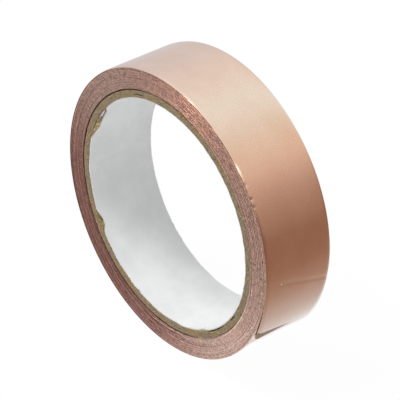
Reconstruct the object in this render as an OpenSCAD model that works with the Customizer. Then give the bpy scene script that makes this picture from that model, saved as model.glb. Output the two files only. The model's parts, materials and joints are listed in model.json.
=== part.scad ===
// Roll of adhesive copper foil tape on a spiral wound paper core.
// The roll stands on its rim, with the bore along Y and the origin at the bore's centre.
// Angles run from +X towards +Z. The tape is wound towards falling angles, foil outwards,
// and its free end hangs in short strips, each hinged to the one before it.

/* [Core] */
// Bore diameter, which slides over a three inch hub
bore_d = 76.2; // [50:0.1:80]
// Wall thickness of the core, with its white liner
core_wall = 2.9; // [2:0.1:4]
// Thickness of the white paper that lines the bore
core_liner_t = 0.4; // [0.2:0.05:0.6]
// Width of the butt seam in each board ply
seam_w = 0.2; // [0.1:0.05:0.4]
// Angle between a butt seam and the bore
seam_tilt = 55; // [0:5:60]

/* [Tape] */
// Width of the tape, which is also the length of the core
tape_w = 25.4; // [6:0.1:50]
// Thickness of the copper foil
foil_t = 0.05; // [0.03:0.005:0.1]
// Thickness of the adhesive under the foil
adhesive_t = 0.028; // [0.02:0.002:0.05]
// Thickness of the release liner under the adhesive
liner_t = 0.07; // [0.05:0.005:0.1]
// Air between one turn and the next
turn_gap = 0.002; // [0.001:0.001:0.01]
// Number of full turns on the core
turns = 47; // [10:1:60]

/* [Free end] */
// Angle at which the free end leaves the wound turns
root_angle = 8; // [-20:1:40]
// Angle that the free end covers, up to the middle of its cut
tail_sweep = 36; // [20:1:60]
// Radius of the inside of the free end, a little slacker than the roll
tail_r = 50; // [49:0.5:70]
// Clearance under the free end at its root
root_gap = 0.02; // [0.01:0.01:0.1]
// Gap that opens between the release liner and the adhesive
peel_gap = 0.03; // [0.02:0.01:0.1]
// Slant of the cut across the foil and its adhesive
cut_slant = -11; // [-20:1:20]
// Slant of the cut across the release liner
liner_slant = 2; // [-20:1:20]
// Angle by which the release liner reaches past the foil
liner_reach = 1; // [0:0.5:3]

/* [Hidden] */
PLIES = 5;
SEGMENTS = 4;
$fn = 180;

bore_r = bore_d / 2;
core_r = bore_r + core_wall;
ply_t = (core_wall - core_liner_t) / PLIES;
seam_turn = 137.5;

// Inside radius of each layer at the start of the winding
pitch = liner_t + adhesive_t + foil_t + turn_gap;
adhesive_r = core_r + liner_t;
foil_r = adhesive_r + adhesive_t;

// The free end: arcs about a centre set back along the root's direction
tail_centre = core_r + turns * pitch + root_gap - tail_r;
tail_adhesive_r = tail_r + liner_t + peel_gap;
tail_foil_r = tail_adhesive_r + adhesive_t;
segment_sweep = tail_sweep / SEGMENTS;
cut_reach = 8;

// A strip of the tape's width, bent round the Y axis from the angle first through sweep
module bent_strip(r, t, first, sweep) {
    rotate([90, 0, 0])
        rotate_extrude(angle = sweep, start = first)
            translate([r, -tape_w / 2])
                square([t, tape_w]);
}

// Moves children along the direction of the free end's root
module shift_to_root(d) {
    translate([d * cos(root_angle), 0, d * sin(root_angle)]) children();
}

// One layer of the winding, for the turns from first up to last: half turns whose radius
// grows by half a pitch each, about two centres half a pitch apart, so that they meet
module wound_layer(r, t, first, last) {
    for (k = [2 * first : 2 * last - 1])
        shift_to_root((k % 2 == 0 ? -1 : 1) * pitch / 4)
            bent_strip(r + pitch / 4 + k * pitch / 2, t, root_angle + (k % 2) * 180 - 180, 180);
}

// One strip of the free end, counted from the root. The last one is cut on a slant, at an
// angle past its nominal end.
module tail_strip(r, t, i, slant, past) {
    first = root_angle - i * segment_sweep;
    last = i == SEGMENTS;
    shift_to_root(tail_centre) difference() {
        bent_strip(r, t, first - (last ? cut_reach : 0), segment_sweep + (last ? cut_reach : 0));
        if (last)
            rotate([0, past - first, 0])
                translate([r, 0, 0])
                    rotate([slant, 0, 0])
                        translate([-tail_r / 2, -tape_w, -tail_r])
                            cube([tail_r, 2 * tape_w, tail_r]);
    }
}

module core_white_liner() {
    color("whitesmoke") bent_strip(bore_r, core_liner_t, 0, 360);
}

// One board ply with its slanted butt seam, counted from the bore
module core_board_ply(i) {
    r = bore_r + core_liner_t + (i - 1) * ply_t;
    color("darkkhaki") difference() {
        bent_strip(r, ply_t, 0, 360);
        rotate([0, i * seam_turn, 0])
            translate([r - ply_t, 0, 0])
                rotate([seam_tilt, 0, 0])
                    translate([-core_wall, -2 * tape_w, -seam_w / 2])
                        cube([3 * core_wall, 4 * tape_w, seam_w]);
    }
}

module wound_release_liner() {
    color("wheat") wound_layer(core_r, liner_t, 0, turns);
}

module wound_adhesive() {
    color("tan") wound_layer(adhesive_r, adhesive_t, 0, turns);
}

module wound_copper_foil() {
    color("chocolate") wound_layer(foil_r, foil_t, 0, turns - 1);
}

// The last full turn of the foil, which is the roll's outer face
module outer_turn_foil() {
    color("peru") wound_layer(foil_r, foil_t, turns - 1, turns);
}

module tail_liner(i) {
    color("wheat") tail_strip(tail_r, liner_t, i, liner_slant, liner_reach);
}

module tail_adhesive(i) {
    color("tan") tail_strip(tail_adhesive_r, adhesive_t, i, cut_slant, 0);
}

module tail_foil(i) {
    color("chocolate") tail_strip(tail_foil_r, foil_t, i, cut_slant, 0);
}

core_white_liner();
for (i = [1 : PLIES])
    core_board_ply(i);
wound_release_liner();
wound_adhesive();
wound_copper_foil();
outer_turn_foil();
for (i = [1 : SEGMENTS]) {
    tail_liner(i);
    tail_adhesive(i);
    tail_foil(i);
}
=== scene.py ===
import json
import math

import bpy
import numpy as np
from mathutils import Matrix, Vector


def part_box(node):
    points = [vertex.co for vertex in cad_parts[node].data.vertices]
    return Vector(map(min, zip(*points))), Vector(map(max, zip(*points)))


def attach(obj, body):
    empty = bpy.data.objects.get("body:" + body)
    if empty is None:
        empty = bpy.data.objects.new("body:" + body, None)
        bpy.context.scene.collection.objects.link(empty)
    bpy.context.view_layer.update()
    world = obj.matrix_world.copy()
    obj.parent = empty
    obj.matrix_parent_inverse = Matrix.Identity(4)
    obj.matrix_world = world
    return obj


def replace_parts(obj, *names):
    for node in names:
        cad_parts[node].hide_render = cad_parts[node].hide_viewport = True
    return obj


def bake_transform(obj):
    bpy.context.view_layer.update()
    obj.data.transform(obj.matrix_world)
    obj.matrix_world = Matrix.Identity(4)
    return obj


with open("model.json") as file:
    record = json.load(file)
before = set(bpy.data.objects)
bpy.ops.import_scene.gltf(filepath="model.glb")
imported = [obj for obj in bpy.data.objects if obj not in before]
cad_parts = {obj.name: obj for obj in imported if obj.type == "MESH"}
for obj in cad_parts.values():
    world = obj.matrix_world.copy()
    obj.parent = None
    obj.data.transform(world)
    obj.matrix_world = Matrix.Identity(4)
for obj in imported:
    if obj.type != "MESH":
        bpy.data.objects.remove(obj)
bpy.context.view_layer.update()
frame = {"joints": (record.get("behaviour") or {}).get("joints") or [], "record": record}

# ------------------------------------------------------------------ sizes
# Radii and lengths are in metres. Angles are in radians from +X towards +Z. The tape is
# wound towards falling angles, and s is the length along it, 0 at the free end's root.
MM = 0.001
# These are part.scad's own values. Further down, sizes are read from the frame.
PLIES = 5
SEGMENTS = 4
TURNS = 47
LINER_T, ADHESIVE_T, FOIL_T, TURN_GAP = 0.070 * MM, 0.028 * MM, 0.050 * MM, 0.002 * MM
PITCH = LINER_T + ADHESIVE_T + FOIL_T + TURN_GAP
# The cut ends of the foil with its adhesive, and of the liner under them: how they slant, and
# how far their middles reach past the strip's nominal end.
FOIL_SLANT, LINER_SLANT = math.tan(math.radians(11)), math.tan(math.radians(-2))
FOIL_PAST, LINER_PAST = -0.25 * MM, 0.72 * MM

joints = {j["name"]: j for j in frame["joints"]}
bore_mount = next(m for m in frame["record"]["mounts"] if m["name"] == "core_bore")
BORE_R = bore_mount["dims"]["r_mm"] * MM
LINER_R, HALF_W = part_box("core_white_liner")[1][:2]
CORE_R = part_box("core_board_ply_5")[1][0]
PLY_T = (CORE_R - LINER_R) / PLIES
FLOOR_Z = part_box("outer_turn_foil")[0][2]
WOUND_R = CORE_R + TURNS * PITCH

# The free end follows an arc through the hinges, which lie on its outer face.
hinges = [np.array(joints[name]["pos_m"])[[0, 2]]
          for name in ("tail_lift", "tail_bend_2", "tail_bend_3", "tail_bend_4")]
ROOT = math.atan2(hinges[0][1], hinges[0][0])


def circle_through(a, b, c):
    """Centre and radius of the circle through three points of a plane."""
    rows = 2 * np.array([b - a, c - a])
    centre = np.linalg.solve(rows, np.array([b @ b - a @ a, c @ c - a @ a]))
    return centre, float(np.linalg.norm(a - centre))


ARC_CENTRE, ARC_R = circle_through(hinges[0], hinges[1], hinges[3])
STEP = 2 * math.asin(np.linalg.norm(hinges[1] - hinges[0]) / 2 / ARC_R)
SEGMENT_L = STEP * ARC_R
TAIL_L = SEGMENTS * SEGMENT_L


# ------------------------------------------------------------------ mesh tools
SHARP_ANGLE = math.radians(35)    # a fold sharper than this is shaded as an edge
WAVE_REACH = 1.6                  # the size given for waves, over their root mean square


def smooth(t):
    """0 below 0, 1 above 1, and a smooth rise between."""
    t = np.clip(t, 0, 1)
    return t * t * (3 - 2 * t)


def bump(x, centre, width):
    """A smooth hill of height 1 round centre, zero from width away."""
    return smooth(1 - np.abs(x - centre) / width)


def turn_bump(angle, centre_deg, width_deg):
    """A smooth hill round an angle, for angles that wrap."""
    off = (np.degrees(angle) - centre_deg + 180) % 360 - 180
    return smooth(1 - np.abs(off) / width_deg)


def marks(angle, places):
    """Smooth hills round angles, added up. Each is (angle, half width, height), with the
    angles in degrees."""
    return sum(height * turn_bump(angle, at, wide) for at, wide, height in places)


def ring_marks(angle, radius, places):
    """Smooth hills on an end face, added up. Each is (angle, its half width, radius, its
    half width, height), with the angles in degrees."""
    return sum(height * turn_bump(angle, at, wide) * bump(radius, r, across)
               for at, wide, r, across, height in places)


def waves(seed, count, around, across, size):
    """A smooth random field of an angle and a length: up to around waves to the turn,
    and wavelengths down to across. Its values mostly lie within size of zero."""
    rng = np.random.default_rng(seed)
    m = rng.integers(0, around + 1, count)
    q = rng.uniform(-1, 1, count) * 2 * math.pi / across
    phase = rng.uniform(0, 2 * math.pi, count)
    gain = rng.uniform(0.4, 1, count)
    gain *= size / math.sqrt((gain ** 2).sum() / 2) / WAVE_REACH

    def field(angle, length):
        out = 0
        for k in range(count):
            out = out + gain[k] * np.cos(m[k] * angle + q[k] * length + phase[k])
        return out
    return field


def add_mesh(name, verts, faces, material, body, uv=None, tone=None):
    """Makes a piece that rides on a body, or on none yet. uv and tone give a value for
    each vertex."""
    mesh = bpy.data.meshes.new(name)
    mesh.from_pydata(verts, [], faces)
    if uv is not None:
        layer = mesh.uv_layers.new(name="UVMap")
        index = np.zeros(len(mesh.loops), int)
        mesh.loops.foreach_get("vertex_index", index)
        layer.data.foreach_set("uv", np.asarray(uv, np.float32)[index].ravel())
    if tone is not None:
        values = mesh.attributes.new("tone", "FLOAT", "POINT")
        values.data.foreach_set("value", np.asarray(tone, np.float32).ravel())
    mesh.polygons.foreach_set("use_smooth", np.ones(len(mesh.polygons), bool))
    mesh.set_sharp_from_angle(angle=SHARP_ANGLE)
    mesh.materials.append(material)
    piece = bpy.data.objects.new(name, mesh)
    bpy.context.scene.collection.objects.link(piece)
    if body:
        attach(piece, body)
    return piece


def skin(sections, loop=False):
    """Faces of a closed skin through sections, an array of (along, around, 3) points,
    wound so that they face outwards."""
    along, around = sections.shape[:2]
    i = np.arange(along if loop else along - 1)[:, None]
    j = np.arange(around)[None, :]
    following = (i + 1) % along
    beside = (j + 1) % around
    quads = np.stack(np.broadcast_arrays(i * around + j, i * around + beside,
                                         following * around + beside, following * around + j), -1)
    quads = quads.reshape(-1, 4)
    verts = sections.reshape(-1, 3)
    p = verts[quads]
    volume = np.einsum("ij,ij->i", p[:, 0], np.cross(p[:, 1], p[:, 2])).sum()
    volume += np.einsum("ij,ij->i", p[:, 0], np.cross(p[:, 2], p[:, 3])).sum()
    faces = quads.tolist()
    if not loop:
        faces += [list(range(around))[::-1], list(range((along - 1) * around, along * around))]
    if volume < 0:
        faces = [f[::-1] for f in faces]
    return verts, faces


def polar(r, angle, y):
    """Points from a radius and an angle round the bore, and a place along it."""
    r, angle, y = np.broadcast_arrays(r, angle, y)
    return np.stack([r * np.cos(angle), y, r * np.sin(angle)], -1)


# ------------------------------------------------------------------ material tools
class Nodes:
    """The nodes of a material or a world, with a short way to add and join them."""

    def __init__(self, owner):
        owner.use_nodes = True
        self.owner = owner
        self.tree = owner.node_tree
        self.tree.nodes.clear()

    def add(self, kind, **values):
        node = self.tree.nodes.new("ShaderNode" + kind)
        for key, value in values.items():
            if hasattr(node, key):
                setattr(node, key, value)
            else:
                self.put(node.inputs[key.replace("_", " ")], value)
        return node

    def put(self, socket, value):
        if isinstance(value, bpy.types.NodeSocket):
            self.tree.links.new(value, socket)
        else:
            socket.default_value = value

    def math(self, operation, *values):
        node = self.add("Math", operation=operation)
        for socket, value in zip(node.inputs, values):
            self.put(socket, value)
        return node.outputs[0]

    def mix(self, factor, a, b, blend="MIX"):
        """Mixes two colours. On a Mix node they are inputs 6 and 7, and output 2."""
        node = self.add("Mix", data_type="RGBA", blend_type=blend)
        for socket, value in ((0, factor), (6, a), (7, b)):
            self.put(node.inputs[socket], value)
        return node.outputs[2]

    def distance(self, a, b):
        node = self.add("VectorMath", operation="DISTANCE")
        self.put(node.inputs[0], a)
        self.put(node.inputs[1], b)
        return node.outputs["Value"]

    def ramp(self, value, stops):
        """A colour for a value, from (value, colour) stops between 0 and 1."""
        node = self.add("ValToRGB")
        self.put(node.inputs[0], value)
        while len(node.color_ramp.elements) < len(stops):
            node.color_ramp.elements.new(0.5)
        for element, (at, colour) in zip(node.color_ramp.elements, stops):
            element.position = at
            element.color = (*colour, 1)
        return node.outputs[0]

    def between(self, value, low, high, to_low=0.0, to_high=1.0):
        """Rises smoothly from to_low to to_high as the value goes from low to high."""
        node = self.add("MapRange", interpolation_type="SMOOTHSTEP")
        for name, number in zip(("Value", "From Min", "From Max", "To Min", "To Max"),
                                (value, low, high, to_low, to_high)):
            self.put(node.inputs[name], number)
        return node.outputs["Result"]

    def stretched(self, vector, by):
        """A vector with each of its parts multiplied."""
        node = self.add("VectorMath", operation="MULTIPLY")
        self.put(node.inputs[0], vector)
        self.put(node.inputs[1], by)
        return node.outputs[0]

    def noise(self, vector, scale, detail, roughness):
        """Noise with about scale bumps to the metre: one number, or one for each direction.
        The pattern then runs in the direction of the lowest."""
        if isinstance(scale, tuple):
            vector, scale = self.stretched(vector, scale), 1.0
        node = self.add("TexNoise", Vector=vector, Scale=scale, Detail=detail, Roughness=roughness)
        return node.outputs["Fac"]

    def place(self):
        """Object coordinates, in metres."""
        return self.add("TexCoord").outputs["Object"]

    def tape_place(self):
        """Length along the tape and place across it, in metres, from the UV map."""
        return self.add("UVMap", uv_map="UVMap").outputs["UV"]

    def ring_place(self):
        """Radius, angle times the core's radius, and place along the bore, in metres."""
        parts = self.add("SeparateXYZ", Vector=self.place())
        x, y, z = parts.outputs
        radius = self.math("SQRT", self.math("ADD", self.math("MULTIPLY", x, x),
                                             self.math("MULTIPLY", z, z)))
        angle = self.math("MULTIPLY", self.math("ARCTAN2", z, x), CORE_R)
        return self.add("CombineXYZ", X=radius, Y=angle, Z=y).outputs[0]

    def surface(self, bumps, **values):
        """The shader, and the finished material. bumps are (height, distance) pairs, laid
        over each other."""
        shader = self.add("BsdfPrincipled", **values)
        normal = None
        for height, distance in bumps:
            node = self.add("Bump", Strength=1.0, Distance=distance, Height=height)
            if normal is not None:
                self.put(node.inputs["Normal"], normal)
            normal = node.outputs[0]
        self.put(shader.inputs["Normal"], normal)
        out = self.add("OutputMaterial", Surface=shader.outputs[0])
        out.is_active_output = True
        return self.owner


def material_nodes(name):
    return Nodes(bpy.data.materials.new(name))


def rgb(red, green, blue):
    """A colour from screen values of 0 to 255."""
    def linear(c):
        c /= 255
        return c / 12.92 if c <= 0.04045 else ((c + 0.055) / 1.055) ** 2.4
    return (linear(red), linear(green), linear(blue), 1.0)


# ------------------------------------------------------------------ materials
COPPER = (0.90, 0.62, 0.47, 1)
COPPER_DEEP = (0.87, 0.58, 0.43, 1)
COPPER_BRIGHT = (0.93, 0.67, 0.53, 1)
SPECK = (1.0, 0.95, 0.85, 1)
SPECK_PLACE = (9.6 * MM, -6.7 * MM, 0.0)    # along the tape, and across it
SPECK_EDGE = (0.12 * MM, 0.24 * MM)
EDGE_COPPER = (0.84, 0.52, 0.40, 1)
EDGE_PAPER = (0.50, 0.31, 0.245, 1)
EDGE_GLUE = (0.20, 0.12, 0.10, 1)
# The warmer, darker tint that the winding's edges take where the tone paints them darker: part of the
# painted shade.
EDGE_SHADE_TINT = (1.0, 0.77, 0.77, 1)
SCRATCH_ANGLE = math.radians(-28)
BOARD_DARK = rgb(114, 100, 76)
BOARD_LIGHT = rgb(162, 144, 116)
BOARD_WARM = rgb(156, 127, 80)
BOARD_FLECK = rgb(196, 176, 144)
BOARD_PIT = rgb(60, 46, 34)
BOARD_RUST = rgb(150, 104, 56)
TORN_DARK = rgb(142, 106, 62)
TORN_LIGHT = rgb(206, 186, 142)
WHITE_PAPER = rgb(231, 231, 230)
WHITE_PAPER_SHADE = rgb(222, 222, 221)
RELEASE_DARK = rgb(142, 114, 92)
RELEASE_LIGHT = rgb(162, 135, 112)
ADHESIVE_DARK = rgb(142, 104, 82)
ADHESIVE_LIGHT = rgb(160, 120, 96)
EDGE_BUMP = 0.05 * MM


def copper_foil():
    """Rolled foil: satin, with fine lines along the tape, faint smudges, a fine speckle and
    one speck of dust."""
    n = material_nodes("copper_foil")
    at = n.tape_place()
    lines = n.noise(at, (60, 5200, 1), 3.0, 0.6)
    grain = n.noise(at, 6500, 2.0, 0.6)
    smudge = n.noise(at, (70, 120, 1), 3.0, 0.55)
    tint = n.mix(n.between(smudge, 0.3, 0.7), COPPER_DEEP, COPPER)
    tint = n.mix(n.between(lines, 0.62, 0.8, 0.0, 0.35), tint, COPPER_BRIGHT)
    speckle = n.noise(at, (2300, 3000, 1), 3.0, 0.7)
    tint = n.mix(1.0, tint, n.between(speckle, 0.35, 0.65, 0.93, 1.07), "MULTIPLY")
    bare = n.between(n.distance(at, SPECK_PLACE), *SPECK_EDGE)
    tint = n.mix(bare, SPECK, tint)
    rough = n.math("ADD", n.between(smudge, 0.3, 0.75, 0.17, 0.24),
                   n.between(grain, 0.3, 0.7, 0.0, 0.05))
    return n.surface([(lines, 0.004 * MM), (grain, 0.003 * MM)],
                     Base_Color=tint, Metallic=bare, Roughness=rough)


def slit_face(n, colour):
    """The colour of an edge on the winding's face: mottled, with straight scratches that
    the slitting knife left all the way across, and with painted light from the tone
    attribute: a painted highlight on turns that stand out, and painted shade with a warmer
    tint on turns that stand in and over the lower left, with darker outermost turns on the
    left. Gives the colour, and the scratches for a bump."""
    parts = n.add("SeparateXYZ", Vector=n.place())
    x, y, z = parts.outputs
    c, s = math.cos(SCRATCH_ANGLE), math.sin(SCRATCH_ANGLE)
    along = n.math("ADD", n.math("MULTIPLY", x, c), n.math("MULTIPLY", z, s))
    across = n.math("SUBTRACT", n.math("MULTIPLY", z, c), n.math("MULTIPLY", x, s))
    at = n.add("CombineXYZ", X=along, Y=across, Z=y).outputs[0]
    scratch = n.noise(at, (700, 2900, 300), 2.0, 0.55)
    mottle = n.noise(at, (1900, 2900, 300), 3.0, 0.6)
    patch = n.noise(at, (130, 200, 60), 2.0, 0.5)
    depth = n.between(patch, 0.35, 0.6, 0.25, 1.0)
    dark = n.math("MULTIPLY", n.between(scratch, 0.50, 0.36), depth)
    light = n.math("MULTIPLY", n.between(scratch, 0.53, 0.68), depth)
    shade = n.math("MULTIPLY", n.between(mottle, 0.28, 0.72, 0.76, 1.22),
                   n.math("ADD", n.math("MULTIPLY_ADD", dark, -0.42, 1.0),
                          n.math("MULTIPLY", light, 0.28)))
    # The tone attribute is painted light: it lightens and darkens each turn's edge, and below zero it
    # also warms the tint as painted shade.
    tone = n.add("Attribute", attribute_name="tone").outputs["Fac"]
    shade = n.math("MULTIPLY", shade, n.math("MAXIMUM", n.math("MULTIPLY_ADD", tone, 0.26, 1.04), 0.4))
    shade_tinted = n.mix(1.0, colour, EDGE_SHADE_TINT, "MULTIPLY")
    colour = n.mix(n.between(tone, -0.3, -1.9), colour, shade_tinted)
    return n.mix(1.0, colour, shade, "MULTIPLY"), scratch


def foil_edge():
    """The slit edges of the foil's turns, burred and a little dull."""
    n = material_nodes("foil_edge")
    tint, scratch = slit_face(n, EDGE_COPPER)
    return n.surface([(scratch, EDGE_BUMP)], Base_Color=tint, Metallic=1.0, Roughness=0.42)


def release_paper():
    """Thin release paper: tan, with a soft gloss and cloudy fibres."""
    n = material_nodes("release_paper")
    at = n.place()
    cloud = n.noise(at, 700, 4.0, 0.6)
    fibre = n.noise(n.stretched(at, (1, 3, 1)), 4200, 3.0, 0.6)
    tint = n.mix(n.between(cloud, 0.35, 0.65), RELEASE_DARK, RELEASE_LIGHT)
    return n.surface([(fibre, 0.012 * MM)], Base_Color=tint, Roughness=0.6, Specular_IOR_Level=0.3)


def paper_edge():
    """The liner's slit edges between the turns, tinted by copper dust."""
    n = material_nodes("paper_edge")
    tint, scratch = slit_face(n, EDGE_PAPER)
    return n.surface([(scratch, EDGE_BUMP)], Base_Color=tint, Metallic=0.85, Roughness=0.5)


def glue_edge():
    """The adhesive's edges between the turns, with dust stuck to them."""
    n = material_nodes("glue_edge")
    tint, scratch = slit_face(n, EDGE_GLUE)
    return n.surface([(scratch, EDGE_BUMP)], Base_Color=tint, Metallic=0.3, Roughness=0.45)


def adhesive():
    """Clear acrylic adhesive, brown over the foil."""
    n = material_nodes("adhesive")
    cloud = n.noise(n.place(), 1800, 3.0, 0.5)
    tint = n.mix(n.between(cloud, 0.35, 0.65), ADHESIVE_DARK, ADHESIVE_LIGHT)
    return n.surface([(cloud, 0.01 * MM)], Base_Color=tint, Roughness=0.3)


def core_board():
    """Grey-brown board: long soft fibres round the ring, with dark, pale and rusty flecks."""
    n = material_nodes("core_board")
    at = n.ring_place()
    fibre = n.noise(at, (4200, 700, 2600), 4.0, 0.65)
    fleck = n.noise(at, (3000, 1300, 2000), 2.0, 0.5)
    cloud = n.noise(at, (500, 160, 200), 3.0, 0.55)
    tint = n.mix(n.between(fibre, 0.3, 0.7), BOARD_DARK, BOARD_LIGHT)
    tint = n.mix(n.between(cloud, 0.4, 0.7, 0.0, 0.6), tint, BOARD_WARM)
    speck = n.noise(at, (5200, 2600, 4200), 2.0, 0.5)
    tint = n.mix(n.between(speck, 0.60, 0.68, 0.0, 0.8), tint, BOARD_RUST)
    tint = n.mix(n.between(speck, 0.38, 0.31, 0.0, 0.8), tint, BOARD_PIT)
    tint = n.mix(n.between(fleck, 0.62, 0.70), tint, BOARD_FLECK)
    tint = n.mix(n.between(fleck, 0.38, 0.30), tint, BOARD_PIT)
    return n.surface([(fibre, 0.06 * MM), (fleck, 0.03 * MM)], Base_Color=tint, Roughness=0.92)


def torn_board():
    """Torn board and loose fibres: paler and yellower than the cut ends."""
    n = material_nodes("torn_board")
    at = n.place()
    patch = n.noise(at, 900, 3.0, 0.6)
    fibre = n.noise(at, 5000, 2.0, 0.6)
    tint = n.mix(n.between(patch, 0.35, 0.65), TORN_DARK, TORN_LIGHT)
    return n.surface([(fibre, 0.02 * MM)], Base_Color=tint, Roughness=0.95)


def white_paper():
    """The bore's lining: matt white paper with a faint cloud and fine fibres."""
    n = material_nodes("white_paper")
    at = n.ring_place()
    cloud = n.noise(at, (300, 90, 120), 4.0, 0.6)
    fibre = n.noise(at, (1500, 1500, 2600), 3.0, 0.6)
    tint = n.mix(n.between(cloud, 0.3, 0.7), WHITE_PAPER_SHADE, WHITE_PAPER)
    return n.surface([(fibre, 0.02 * MM), (cloud, 0.06 * MM)], Base_Color=tint, Roughness=0.9)


mat_foil = copper_foil()
mat_foil_edge = foil_edge()
mat_release = release_paper()
mat_paper_edge = paper_edge()
mat_glue_edge = glue_edge()
mat_adhesive = adhesive()
mat_board = core_board()
mat_white = white_paper()
mat_fibre = torn_board()


# ------------------------------------------------------------------ the core
RING_STEPS = 1440
GROOVE_W, GROOVE_DEPTH = 0.18 * MM, 2.2 * MM
# Where the groove beside the winding is open: angle, half width, how far
GROOVE_OPEN = ((170, 92, 1.6), (-92, 30, 0.6), (76, 20, 0.6), (-45, 25, 0.25), (140, 10, -0.35),
               (-160, 8, -0.3))
# Splits in the board, and the knock in its inner rim: angle, half width, radius, half
# width, and for a split the share of its depth, for the knock its depth
SPLIT_DEPTH, SPLIT_W = 1.6 * MM, 0.2 * MM
SPLITS = ((-50, 9, LINER_R + 0.7 * PLY_T, SPLIT_W, 1.4), (-33, 3, LINER_R + PLY_T, SPLIT_W, 1),
          (108, 5, LINER_R + 2 * PLY_T, SPLIT_W, 1))
KNOCK = ((-3, 2.4, LINER_R + 0.7 * MM, 0.8 * MM, 0.45 * MM),)
# A ply's seam is turned this far from the last one's, and each end this far from its middle
SEAM_TURN_DEG, SEAM_SKEW_DEG = 137.5, 26.6
SEAM_DEPTH, SEAM_HALF_DEG = 0.35 * MM, 0.35
BOARD_INSET, LINING_INSET = 0.06 * MM, 0.32 * MM
RIM_WORN, RIM_WORN_W = 0.10 * MM, 0.3 * MM
LOW_TEAR, HIGH_TEAR = 1.0 * MM, 2.0 * MM
# Loose fibres on the two rims: side and number; and at the torn places: angle, spread in
# degrees, and number
RIM_FIBRES = ((-1, 460), (1, 320))
TORN_FIBRES = ((-150, 4, 46), (151, 8, 60), (-62, 5, 26), (-103, 3, 10))
FIBRE_RADII = (0.02, 0.06, 1.2, 2.2)    # where they start, in mm outside the lining
FIBRE_RISE, FIBRE_LEAN = 0.6, 0.4
ASLANT = (0.31, 0.87, 0.38)    # any direction that fibres don't run in
FLAKE_T = 0.09 * MM


def ring(name, r_in, r_out, front, back, material, node, radial=5, depth=3):
    """A tube whose two ends lie at the places that front and back give for an angle and a
    radius. front and back return how far each end stands in from the tape's edge."""
    angle = np.linspace(0, 2 * math.pi, RING_STEPS, endpoint=False)[:, None]
    radii = np.linspace(r_in, r_out, radial)[None, :]
    y_front = -HALF_W + front(angle, radii)
    y_back = HALF_W - back(angle, radii)
    share = (np.arange(1, depth + 1) / (depth + 1))[None, :]
    outer = y_front[:, -1:] + (y_back[:, -1:] - y_front[:, -1:]) * share
    inner = y_back[:, :1] + (y_front[:, :1] - y_back[:, :1]) * share
    sections = np.concatenate([
        polar(radii, angle, y_front),
        polar(np.full_like(outer, r_out), angle, outer),
        polar(radii[:, ::-1], angle, y_back[:, ::-1]),
        polar(np.full_like(inner, r_in), angle, inner),
    ], axis=1)
    verts, faces = skin(sections, loop=True)
    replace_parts(add_mesh(name, verts, faces, material, "roll"), node)


def core_groove(angle, radius):
    """The gap that opens here and there between the core and the winding, at the front."""
    rim = smooth(1.3 - (CORE_R - radius) / GROOVE_W)
    return GROOVE_DEPTH * np.clip(marks(angle, GROOVE_OPEN), 0, 1) * rim


def board_crack(angle, radius):
    """Splits in the board's front end: two low on the right, one at the top."""
    return SPLIT_DEPTH * np.clip(ring_marks(angle, radius, SPLITS), 0, 1)


def board_end(seed, ply, side):
    """How far a ply's end stands in: fuzzy board, a butt seam, and at the front a groove
    beside the winding, splits and a knock."""
    coarse = waves(seed, 30, 80, 0.9 * MM, 0.05 * MM)
    fine = waves(seed + 1, 60, 900, 0.25 * MM, 0.05 * MM)
    seam = -ply * SEAM_TURN_DEG + side * SEAM_SKEW_DEG

    def depth(angle, radius):
        d = BOARD_INSET + coarse(angle, radius) + fine(angle, radius)
        d = d + SEAM_DEPTH * turn_bump(angle, seam, SEAM_HALF_DEG)
        d = d + RIM_WORN * smooth(1 - (radius - LINER_R) / RIM_WORN_W)
        if side < 0:
            d = d + core_groove(angle, radius) + board_crack(angle, radius)
            d = d + ring_marks(angle, radius, KNOCK)
        return np.clip(d, 0, None)
    return depth


def liner_end(seed, side):
    """The lining's torn end: a ragged line that stands in from the board. At the front it
    is torn further down in two places, and nicked in two more."""
    coarse = waves(seed, 24, 36, 1.0, 0.10 * MM)
    fine = waves(seed + 1, 60, 560, 1.0, 0.09 * MM)

    def depth(angle, radius):
        d = LINING_INSET + coarse(angle, 0 * radius) + fine(angle, 0 * radius)
        if side < 0:
            d = d + LOW_TEAR * turn_bump(angle, -150, 7)
            d = d + HIGH_TEAR * np.clip(1.7 * turn_bump(angle, 151, 14), 0, 1)
            d = d + 0.4 * MM * turn_bump(angle, -111, 1.5) + 0.3 * MM * turn_bump(angle, -62, 6)
        return np.clip(d, 0.02 * MM, None)
    return depth


def bore_lining():
    ring("bore_lining", BORE_R, LINER_R, liner_end(11, -1), liner_end(13, 1), mat_white,
         "core_white_liner", radial=2, depth=12)


def core_plies():
    for ply in range(PLIES):
        low = LINER_R + ply * PLY_T
        ring(f"core_ply_{ply + 1}", low, low + PLY_T, board_end(100 + 10 * ply, ply + 1, -1),
             board_end(105 + 10 * ply, ply + 1, 1), mat_board,
             f"core_board_ply_{ply + 1}")


def tube(path, width, sides=5):
    """Sections of a thin round fibre along a path of points, pointed at its ends."""
    path = np.asarray(path)
    ahead = np.gradient(path, axis=0)
    ahead /= np.linalg.norm(ahead, axis=1)[:, None]
    across = np.cross(ahead, ASLANT)
    across /= np.linalg.norm(across, axis=1)[:, None]
    up = np.cross(ahead, across)
    t = np.linspace(0, 1, len(path))
    half = width / 2 * np.clip(np.sin(math.pi * (0.06 + 0.88 * t)), 0.2, 1)
    turn = np.linspace(0, 2 * math.pi, sides, endpoint=False)
    circle = (across[:, None, :] * np.cos(turn)[None, :, None]
              + up[:, None, :] * np.sin(turn)[None, :, None])
    return path[:, None, :] + half[:, None, None] * circle


def join(parts):
    """One list of points and faces from several."""
    verts, faces, start = [], [], 0
    for v, f in parts:
        verts.append(v)
        faces += [[i + start for i in face] for face in f]
        start += len(v)
    return np.concatenate(verts), faces


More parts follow.
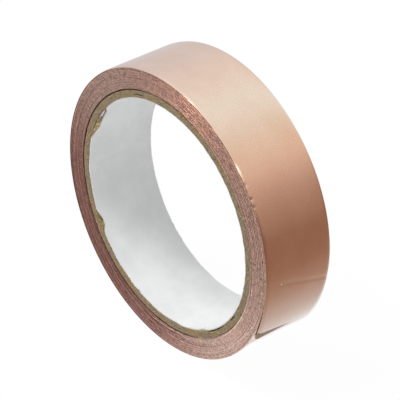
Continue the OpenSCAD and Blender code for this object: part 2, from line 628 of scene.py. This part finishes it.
def fibre(rng, angle, radius, y, length, width):
    """A loose fibre that starts at a place on the core's rim and curls a little."""
    t = np.linspace(0, 1, 7)
    heading = rng.uniform(-1, 1) * math.pi
    curl = rng.uniform(-1.2, 1.2)
    run = length * t
    a = angle + run * np.cos(heading + curl * t) / radius
    r = radius + run * np.sin(heading + curl * t) * FIBRE_RISE
    lean = rng.uniform(-0.25, 0.55) * length
    return skin(tube(polar(r, a, y + np.sign(y) * lean * t * FIBRE_LEAN), width))


def rim_fuzz():
    """Loose board fibres round both rims of the core, thickest where it is torn."""
    rng = np.random.default_rng(7)
    parts = []
    for side, count in RIM_FIBRES:
        for _ in range(count):
            angle = rng.uniform(0, 2 * math.pi)
            radius = LINER_R + rng.choice(FIBRE_RADII) * MM + rng.uniform(0, 0.2) * MM
            y = side * (HALF_W - rng.uniform(0.02, 0.3) * MM)
            parts.append(fibre(rng, angle, radius, y, rng.uniform(0.25, 0.8) * MM,
                               rng.uniform(0.02, 0.045) * MM))
    for centre, spread, count in TORN_FIBRES:
        for _ in range(count):
            angle = math.radians(rng.normal(centre, spread / 2))
            radius = LINER_R - rng.uniform(0.0, 0.35) * MM
            y = -HALF_W + rng.uniform(0.1, 1.0) * MM
            parts.append(fibre(rng, angle, radius, y, rng.uniform(0.5, 1.5) * MM,
                               rng.uniform(0.03, 0.09) * MM))
    verts, faces = join(parts)
    add_mesh("core_rim_fibres", verts, faces, mat_fibre, "roll")


def torn_flake(name, centre_deg, span_deg, y_start, y_end, lift, seed, material):
    """A thin torn flake that has come loose from the bore's wall. It hangs on at y_start
    and stands off by up to lift at its tip. y_start and y_end are depths from the front."""
    rng = np.random.default_rng(seed)
    along, across = 15, 7
    t = np.linspace(0, 1, along)[:, None]
    u = np.linspace(-1, 1, across)[None, :]
    ragged = 1 + 0.25 * np.interp(np.linspace(0, 1, along), np.linspace(0, 1, 7),
                                  rng.uniform(-1, 1, 7))[:, None]
    half = math.radians(span_deg) / 2 * (1 - 0.75 * t ** 2) * ragged
    angle = math.radians(centre_deg) + half * u + math.radians(span_deg) * 0.25 * t
    y = -HALF_W + y_start + (y_end - y_start) * t + 0.12 * MM * rng.uniform(-1, 1, (along, across))
    r = BORE_R - 0.02 * MM - lift * t ** 1.5 + 0.03 * MM * rng.uniform(-1, 1, (along, across))
    top = polar(r, angle, y)
    under = polar(r + FLAKE_T, angle, y)[:, ::-1]
    verts, faces = skin(np.concatenate([top, under], axis=1))
    add_mesh(name, verts, faces, material, "roll")


def torn_flakes():
    """A white and a brown one on the upper left, and a brown one on the lower left."""
    torn_flake("torn_flake_white", 144, 7, 0.05 * MM, 0.75 * MM, 0.15 * MM, 3, mat_white)
    torn_flake("torn_flake_brown", 153, 12, 0.0, 1.9 * MM, 0.3 * MM, 4, mat_fibre)
    torn_flake("torn_flake_low", -149, 4, 0.0, 1.0 * MM, 0.3 * MM, 5, mat_fibre)


# ------------------------------------------------------------------ the winding
TURN_STEPS = 288
TURN_WAVES = (40, 110, 0.33 * MM)
BAND_WAVES = (36, 5, 0.6 * MM, 0.035 * MM)
band_front, band_back = waves(41, *BAND_WAVES), waves(43, *BAND_WAVES)
CANT, CANT_LEFT = math.radians(2), math.radians(25)
# Turns that stand in where the winding was slack: angle, half width, radius, half width, share
SLACK_DEPTH = 0.7 * MM
SLACK = ((-119, 11, 43.0 * MM, 0.22 * MM, 1), (-99, 9, 43.1 * MM, 0.24 * MM, 1),
         (-86, 12, 42.3 * MM, 0.2 * MM, 0.6), (150, 30, 45.1 * MM, 0.2 * MM, 0.5))
PROUD = 0.07 * MM
# Wear and knocks of the front edge: angle, half width, depth in mm. The foil's are on the
# outer turn.
EDGE_WEAR, WORN_W = 0.06, 0.5 * MM
EDGE_KNOCKS = ((74, 8, 0.34), (43.9, 6, 0.5))
FOIL_KNOCKS = ((75, 4, 0.12), (43.9, 6, 0.25), (60, 4, 0.10), (38.0, 0.9, 0.2), (32.5, 0.8, 0.22),
               (29.5, 0.7, 0.15))
KNOCKED_W = 1.1 * MM
# Painted light on the turns' edges: painted shade where a turn stands in and painted highlight where
# it stands out, how much darker the outermost turns on the left are, and the painted shade over the
# lower left
TONE_BAND, PAINTED_HIGHLIGHT_PROUD, TONE_OUTERMOST, PAINTED_SHADE_LOWER_LEFT = -0.07 * MM, 3.0, 1.6, 1.9


def winding_gaps(angle, radius):
    """Turns that stand in from the front face, where the winding was slack."""
    return SLACK_DEPTH * ring_marks(angle, radius, SLACK)


def proud_turns(angle, radius):
    """Turns that stand out a little and catch the light. turn_tone also paints their edges lighter: a
    painted highlight.
    """
    down = np.degrees(angle - ROOT) % 360 - 360 + np.degrees(ROOT)    # falls from the root's
    inward = 42.3 * MM - 0.035 * MM * (down + 100)
    outward = 46.3 * MM + 0.07 * MM * (down + 26)
    return ring_marks(angle, radius, (
        (-90, 15, inward, 0.2 * MM, 1), (-30, 26, 41.45 * MM, 0.3 * MM, 1),
        (-30, 24, outward, 0.2 * MM, 1), (30, 60, 47.3 * MM, 0.25 * MM, 0.6)))


def knocked_edge(angle, radius):
    """How far the outermost turns are worn down at the front, with two knocks."""
    outermost = smooth(1 - (WOUND_R - radius) / WORN_W)
    return (marks(angle, EDGE_KNOCKS) + EDGE_WEAR) * MM * outermost


def turn_tone(angle, radius):
    """How light a turn's edge is painted, above or below 0: a painted highlight where it stands out
    and painted shade where it stands in, darker at the outermost turns on the left, and painted shade
    all over the lower left."""
    light = band_front(angle, radius) / TONE_BAND + PAINTED_HIGHLIGHT_PROUD * proud_turns(angle, radius)
    outermost = smooth((radius - WOUND_R + 0.45 * MM) / (0.3 * MM))
    light = light - TONE_OUTERMOST * outermost * turn_bump(angle, 196, 120)
    # painted shade over the lower left of the winding's face
    return light - PAINTED_SHADE_LOWER_LEFT * np.clip(1.6 * turn_bump(angle, -138, 100), 0, 1)


def wound_strip(name, base, thick, first, last, material, node, inset, seed, size):
    """A closed strip along the spiral, for the turns from first up to last. Its edges
    stand in from the tape's edge by inset, more or less, and lean towards the bore."""
    own_front = waves(seed, *TURN_WAVES, size)
    own_back = waves(seed + 1, *TURN_WAVES, size)
    turn = np.linspace(first, last, int(round((last - first) * TURN_STEPS)) + 1)[:, None]
    angle = ROOT - 2 * math.pi * turn
    r = base + PITCH * turn
    front = inset + band_front(angle, r) + own_front(angle, r) + winding_gaps(angle, r)
    front = front + knocked_edge(angle, r) - PROUD * proud_turns(angle, r)
    front = front + core_groove(angle, r) * smooth(1.4 - (r - CORE_R) / (0.22 * MM))
    back = inset + band_back(angle, r) + own_back(angle, r)
    front = -HALF_W + np.clip(front, 0, None)
    back = HALF_W - np.clip(back, 0, None)
    lean = thick * np.tan(CANT + CANT_LEFT * turn_bump(angle, -145, 105))
    sections = np.concatenate([polar(r, angle, front + lean), polar(r + thick, angle, front),
                               polar(r + thick, angle, back), polar(r, angle, back - lean)], axis=1)
    verts, faces = skin(sections)
    # the painted light and shade of each turn's edge, stored as the tone attribute
    tone = np.repeat(turn_tone(angle, r), 4, axis=1)
    piece = add_mesh(name, verts, faces, material, "roll", tone=tone)
    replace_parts(piece, node)


def winding():
    wound_strip("wound_liner", CORE_R, LINER_T, 0, TURNS, mat_paper_edge,
                "wound_release_liner", 0.06 * MM, 51, 0.035 * MM)
    wound_strip("wound_glue", CORE_R + LINER_T, ADHESIVE_T, 0, TURNS, mat_glue_edge,
                "wound_adhesive", 0.075 * MM, 61, 0.02 * MM)
    wound_strip("wound_foil", CORE_R + LINER_T + ADHESIVE_T, FOIL_T, 0, TURNS - 1, mat_foil_edge,
                "wound_copper_foil", 0.045 * MM, 71, 0.03 * MM)


# ------------------------------------------------------------------ outer turn and free end
EDGE_W, CROWN, EDGE_TURNED = 1.4 * MM, 0.20 * MM, 1.5
PRESSED_RAMP = 2.5 * MM
# At the tip: how far its front and back edges stand off the arc, and how far they stand in
LIFT_FRONT, LIFT_BACK = 0.05 * MM, -0.25 * MM
FRONT_TAPER, BACK_TAPER = 1.2 * MM, 1.3 * MM
# A crease across the free end, which fades out towards the front
CREASE_S, CREASE_SKEW, CREASE_DEPTH = 11.7 * MM, 0.3, 0.085 * MM
CREASE_BEFORE, CREASE_AFTER = 1.8 * MM, 0.8 * MM
CREASE_FRONT, CREASE_FADE = -11 * MM, 8 * MM
STRIP_ACROSS, OUTER_STEPS, SEGMENT_STEPS = 33, 720, 24
SETBACK = float(np.linalg.norm(ARC_CENTRE))
FULL_TURN = 2 * math.pi * WOUND_R
TAPE_GAP = float(np.linalg.norm(hinges[0])) - WOUND_R - LINER_T - ADHESIVE_T - FOIL_T
liner_hinge = np.array(joints["liner_lift"]["pos_m"])[[0, 2]]
LINER_GAP = float(np.linalg.norm(liner_hinge)) - WOUND_R - LINER_T
# Each layer: inner side, thickness, clearance, inset of its edges, slant of its cut, reach
# past the strip's end, radius of its front corner
LINER_LAYER = (0, LINER_T, LINER_GAP, 0.05 * MM, LINER_SLANT, LINER_PAST, 0.9 * MM)
GLUE_LAYER = (LINER_T, ADHESIVE_T, TAPE_GAP, 0.05 * MM, FOIL_SLANT, FOIL_PAST, 0.8 * MM)
FOIL_LAYER = (LINER_T + ADHESIVE_T, FOIL_T, TAPE_GAP, 0.0, FOIL_SLANT, FOIL_PAST, 0.8 * MM)


def crown(s, y):
    """How far the tape's middle stands above its edges, which the slitter turned in. The
    front edge turns in further along the free end, and the turn under it is pressed flat."""
    near = np.clip((np.abs(y) - (HALF_W - EDGE_W)) / EDGE_W, 0, 1)
    turned = 1 + EDGE_TURNED * np.clip(s / TAIL_L, 0, 1) ** 2 * (y < 0)
    pressed = smooth((TAIL_L - FULL_TURN - s) / PRESSED_RAMP + 1.5)
    return CROWN * (1 - turned * near ** 2.5) * (1 - pressed)


def tape_point(s, y, offset, gap):
    """A point of the outer turn or the free end: s along the tape from the root, y across
    it, and offset outwards from the inside of the release liner. gap is the clearance
    that opens under the layer past the root."""
    offset = offset + crown(s, y) - knocked_foil(ROOT - s / WOUND_R, y) * (s < 0)
    line = CREASE_S + CREASE_SKEW * y
    width = np.where(s < line, CREASE_BEFORE, CREASE_AFTER)
    fade = smooth((y - CREASE_FRONT) / CREASE_FADE)
    offset = offset - CREASE_DEPTH * bump(s, line, width) * fade
    turn = TURNS + np.minimum(s, 0) / (2 * math.pi * WOUND_R)
    wound = polar(CORE_R + PITCH * turn + offset, ROOT - np.minimum(s, 0) / WOUND_R, y)
    lean = LIFT_FRONT + (LIFT_BACK - LIFT_FRONT) * (y / HALF_W + 1) / 2
    past = np.maximum(s, 0)
    r = SETBACK + CORE_R + PITCH * TURNS + offset + gap * smooth(past / SEGMENT_L)
    r = r + lean * (past / TAIL_L) ** 3
    drift = FRONT_TAPER * (past / TAIL_L) ** 4 * (1 - y / HALF_W) / 2
    drift = drift - BACK_TAPER * (past / TAIL_L) ** 2 * (1 + y / HALF_W) / 2
    free = polar(r, ROOT - past / ARC_R, y + drift) + np.array([ARC_CENTRE[0], 0, ARC_CENTRE[1]])
    return np.where((s > 0)[..., None], free, wound)


def knocked_foil(angle, y):
    """How far the outer foil is pushed in where the front edge was knocked."""
    return smooth(1 - (y + HALF_W) / KNOCKED_W) * MM * marks(angle, FOIL_KNOCKS)


def tape_strip(name, first, last, layer, steps, material, node):
    """A strip of one layer of the tape, from s = first to last, closed on all sides. The
    last one of the free end is cut on a slant, and its front corner is worn round."""
    inner, thick, gap, inset, slant, past, corner = layer
    y = np.linspace(-1, 1, STRIP_ACROSS)
    y = np.sign(y) * (1 - (1 - np.abs(y)) ** 1.6)[None, :] * (HALF_W - inset)
    t = np.linspace(0, 1, steps + 1)[:, None]
    end = last + (slant * y + past) * (last >= TAIL_L)
    s = first + (end - first) * t
    if last >= TAIL_L:
        left = np.clip(1 - (end[:, :1] - s[:, :1]) / corner, 0, 1)
        y = y + corner * (1 - np.sqrt(1 - left ** 2)) * (1 - smooth((y + HALF_W) / (2 * corner)))
    outer = tape_point(s, y + 0 * t, inner + thick, gap)
    under = tape_point(s, y + 0 * t, inner, gap)[:, ::-1]
    verts, faces = skin(np.concatenate([outer, under], axis=1))
    uv = np.stack([np.concatenate([c, c[:, ::-1]], axis=1) for c in np.broadcast_arrays(s, y)], -1)
    piece = add_mesh(name, verts, faces, material, None, uv=uv.reshape(-1, 2))
    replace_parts(piece, node)
    return piece


def free_end(kind, layer, material):
    """One layer of the free end: four strips, each reaching across one hinge. The first
    starts at its hinge."""
    middle = [0] + [(i + 0.5) * SEGMENT_L for i in range(SEGMENTS - 1)] + [TAIL_L]
    zero = np.zeros(1)
    for i in range(SEGMENTS):
        steps = int(SEGMENT_STEPS * (middle[i + 1] - middle[i]) / SEGMENT_L) + 1
        piece = tape_strip(f"free_{kind}_{i + 1}", middle[i], middle[i + 1], layer, steps,
                           material, f"tail_{kind}_{i + 1}")
        bend_end = (i + 0.5) * SEGMENT_L
        start = tape_point(np.array([middle[i]]), zero, layer[0], layer[2])[0]
        end = tape_point(np.array([bend_end]), zero, layer[0], layer[2])[0]
        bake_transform(piece)


def outer_turn():
    piece = tape_strip("outer_turn", -FULL_TURN, 0, FOIL_LAYER, OUTER_STEPS, mat_foil,
                       "outer_turn_foil")
    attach(piece, "roll")


def tail():
    free_end("liner", LINER_LAYER, mat_release)
    free_end("adhesive", GLUE_LAYER, mat_adhesive)
    free_end("foil", FOIL_LAYER, mat_foil)


# ------------------------------------------------------------------ floor, light and camera
# What metal sees. On the sheet, by distance to the right as a share of its reach; in the
# sky, by the turn from right (0) over the top to left (1).
SHEET_REACH = 140 * MM
SHEET_STOPS = ((0.0, (1.40, 1.90, 2.30)), (0.20, (1.17, 1.44, 1.70)), (0.29, (0.75, 0.87, 0.96)),
               (0.33, (0.67, 0.74, 0.80)), (0.37, (0.60, 0.61, 0.66)), (0.42, (0.55, 0.53, 0.55)),
               (0.51, (0.46, 0.385, 0.35)), (0.62, (0.40, 0.305, 0.255)), (0.79, (0.345, 0.225, 0.18)),
               (1.0, (0.32, 0.205, 0.16)))
HORIZON = (0.39, 0.28, 0.23, 1)
SKY_STOPS = ((0.0, HORIZON[:3]), (0.08, (0.47, 0.36, 0.31)), (0.15, (0.60, 0.49, 0.44)),
             (0.205, (0.72, 0.62, 0.57)), (0.25, (0.80, 0.73, 0.66)), (0.32, (0.83, 0.81, 0.76)),
             (0.41, (0.86, 0.95, 0.96)), (0.50, (0.905, 1.10, 1.20)), (0.60, (0.90, 1.07, 1.16)),
             (0.66, (0.88, 1.01, 1.08)), (0.75, (0.83, 0.91, 0.98)), (0.86, (0.77, 0.87, 0.99)),
             (1.0, (0.71, 0.77, 0.84)))
LEFT_WALL = (0.70, 0.76, 0.84, 1)
CAMERA_SIDE = (0.24, 0.15, 0.115, 1)
FRONT_ROOM = (0.22, 0.19, 0.20, 1)
NEAR_FRONT = (1.13, 1.25, 1.33, 1)
NEAR_LEFT = (0.62, 0.60, 0.60, 1)
WHITE = (1.0, 1.0, 1.0, 1)
SIDE_LIGHT_PLACE = (0.64, -0.40, 0.65)
SIDE_LIGHT = (1.7, 2.0, 2.2, 1)
FRONT_FLOOR = (0.56, 0.58, 0.605, 1)
# Where those colours begin and where they are full: on the sheet, in metres
HORIZON_EDGE = (1.2 * SHEET_REACH, 9 * SHEET_REACH)
LEFT_X, LEFT_Y = (0.016, -0.004), (-0.018, -0.004)
NEAR_X, NEAR_Y = (0.05, 0.02), (-0.004, -0.018)
WALL_X = (-0.02, -0.12)
FRONT_X, FRONT_SKEW, FRONT_EDGE = (0.02, -0.03), -0.6, (-0.05, -0.11)
# and in the sky, by the x, y and z of the direction, and by distance from the bright spot
ROOM_X, ROOM_Y, ROOM_Z = (0.3, 0.0), (0.45, 0.05), (0.45, 0.15)
SIDE_LIGHT_EDGE = (0.27, 0.15)
SHEET_R, SHEET_COLOUR = 2.5, (0.95, 0.95, 0.96, 1)
SKY = (0.53, 0.535, 0.54, 1)
FLOOR_FLATNESS = 0.97
LAMP_PLACE, LAMP_SIZE, LAMP_POWER = (-0.25, -0.35, 0.9), 0.5, 6.9
LAMP_COLOUR = (0.98, 0.99, 1.0)
VIEW_AZIMUTH, VIEW_ELEVATION, VIEW_DISTANCE = math.radians(50.52), math.radians(32.90), 0.869
LENS_MM, SENSOR_MM = 251, 36
VIEW_SHIFT, VIEW_CLIP = (0.0095, 0.0025), (0.01, 10)


def mirrored_sheet(n):
    """The sheet's colour as metal sees it."""
    x, y, _ = n.add("SeparateXYZ", Vector=n.place()).outputs
    right = n.math("MAXIMUM", x, 0.0)
    seen = n.ramp(n.math("DIVIDE", right, SHEET_REACH), SHEET_STOPS)
    seen = n.mix(n.between(right, *HORIZON_EDGE), seen, HORIZON)
    for x_edge, y_edge, colour in ((LEFT_X, LEFT_Y, NEAR_LEFT), (NEAR_X, NEAR_Y, NEAR_FRONT)):
        share = n.math("MULTIPLY", n.between(x, *x_edge), n.between(y, *y_edge))
        seen = n.mix(share, seen, colour)
    seen = n.mix(n.between(x, *WALL_X), seen, LEFT_WALL)
    front = n.mix(n.between(x, *FRONT_X), CAMERA_SIDE, FRONT_FLOOR)
    before = n.math("MULTIPLY_ADD", right, FRONT_SKEW, y)
    return n.mix(n.between(before, *FRONT_EDGE), seen, front)


def floor():
    """A pale sheet. The camera sees it almost plain white. Metal sees it bright at the
    roll's foot and grey to its left, with a warm dark room far to the right and right in
    front, a grey floor left in front, and a pale wall on the left."""
    n = material_nodes("stage_floor")
    path = n.add("LightPath")
    mirrored = n.add("Emission", Color=mirrored_sheet(n), Strength=1.0)
    matt = n.add("BsdfDiffuse", Color=SHEET_COLOUR)
    plain = n.add("Emission", Color=WHITE, Strength=1.0)
    for share, light in ((n.math("MULTIPLY", path.outputs["Is Camera Ray"], FLOOR_FLATNESS), plain),
                         (path.outputs["Is Glossy Ray"], mirrored)):
        blend = n.add("MixShader")
        n.put(blend.inputs[0], share)
        n.put(blend.inputs[1], matt.outputs[0])
        n.put(blend.inputs[2], light.outputs[0])
        matt = blend
    n.add("OutputMaterial", Surface=matt.outputs[0])
    bpy.ops.mesh.primitive_circle_add(vertices=96, radius=SHEET_R, fill_type="NGON",
                                      location=(0, 0, FLOOR_Z - 0.02 * MM))
    sheet = bpy.context.active_object
    sheet.name = "stage_floor"
    sheet.data.materials.append(n.owner)


def studio():
    """The camera sees white, and matt things a grey sky. Metal sees one that turns from a
    warm dark horizon on the right to white above and pale blue on the left, dark low in
    front, with a bright spot high on the right."""
    world = bpy.data.worlds.new("studio")
    bpy.context.scene.world = world
    n = Nodes(world)
    around = n.add("TexCoord").outputs["Generated"]
    x, y, z = n.add("SeparateXYZ", Vector=around).outputs
    sweep = n.math("DIVIDE", n.math("ARCTAN2", n.math("MAXIMUM", z, 0.0), x), math.pi)
    dark = n.math("MULTIPLY", n.between(y, *ROOM_Y), n.between(z, *ROOM_Z))
    room = n.mix(n.between(x, *ROOM_X), CAMERA_SIDE, FRONT_ROOM)
    seen = n.mix(dark, n.ramp(sweep, SKY_STOPS), room)
    spot = n.between(n.distance(around, SIDE_LIGHT_PLACE), *SIDE_LIGHT_EDGE)
    seen = n.mix(spot, seen, SIDE_LIGHT)
    path = n.add("LightPath")
    seen = n.mix(path.outputs["Is Glossy Ray"], SKY, seen)
    seen = n.mix(path.outputs["Is Camera Ray"], seen, WHITE)
    n.add("OutputWorld", Surface=n.add("Background", Color=seen).outputs[0])


def overhead():
    """One large soft light."""
    lamp = bpy.data.lights.new("overhead", "AREA")
    lamp.shape = "DISK"
    lamp.size = LAMP_SIZE
    lamp.energy = LAMP_POWER
    lamp.color = LAMP_COLOUR
    holder = bpy.data.objects.new("overhead", lamp)
    holder.location = LAMP_PLACE
    holder.rotation_euler = (-Vector(LAMP_PLACE)).to_track_quat("-Z", "Y").to_euler()
    bpy.context.scene.collection.objects.link(holder)


def camera():
    """The photograph's view: from the right, above and rather far away."""
    flat = math.cos(VIEW_ELEVATION)
    away = Vector((math.sin(VIEW_AZIMUTH) * flat, -math.cos(VIEW_AZIMUTH) * flat,
                   math.sin(VIEW_ELEVATION)))
    data = bpy.data.cameras.new("camera")
    data.lens, data.sensor_width = LENS_MM, SENSOR_MM
    data.shift_x, data.shift_y = VIEW_SHIFT
    data.clip_start, data.clip_end = VIEW_CLIP
    holder = bpy.data.objects.new("camera", data)
    turned = (-away).to_track_quat("-Z", "Y")
    holder.matrix_world = Matrix.LocRotScale(away * VIEW_DISTANCE, turned, None)
    bpy.context.scene.collection.objects.link(holder)
    bpy.context.scene.camera = holder


# ------------------------------------------------------------------ the scene
bore_lining()
core_plies()
rim_fuzz()
torn_flakes()
winding()
outer_turn()
tail()
floor()
studio()
overhead()
camera()
bpy.context.scene.view_settings.view_transform = "Standard"
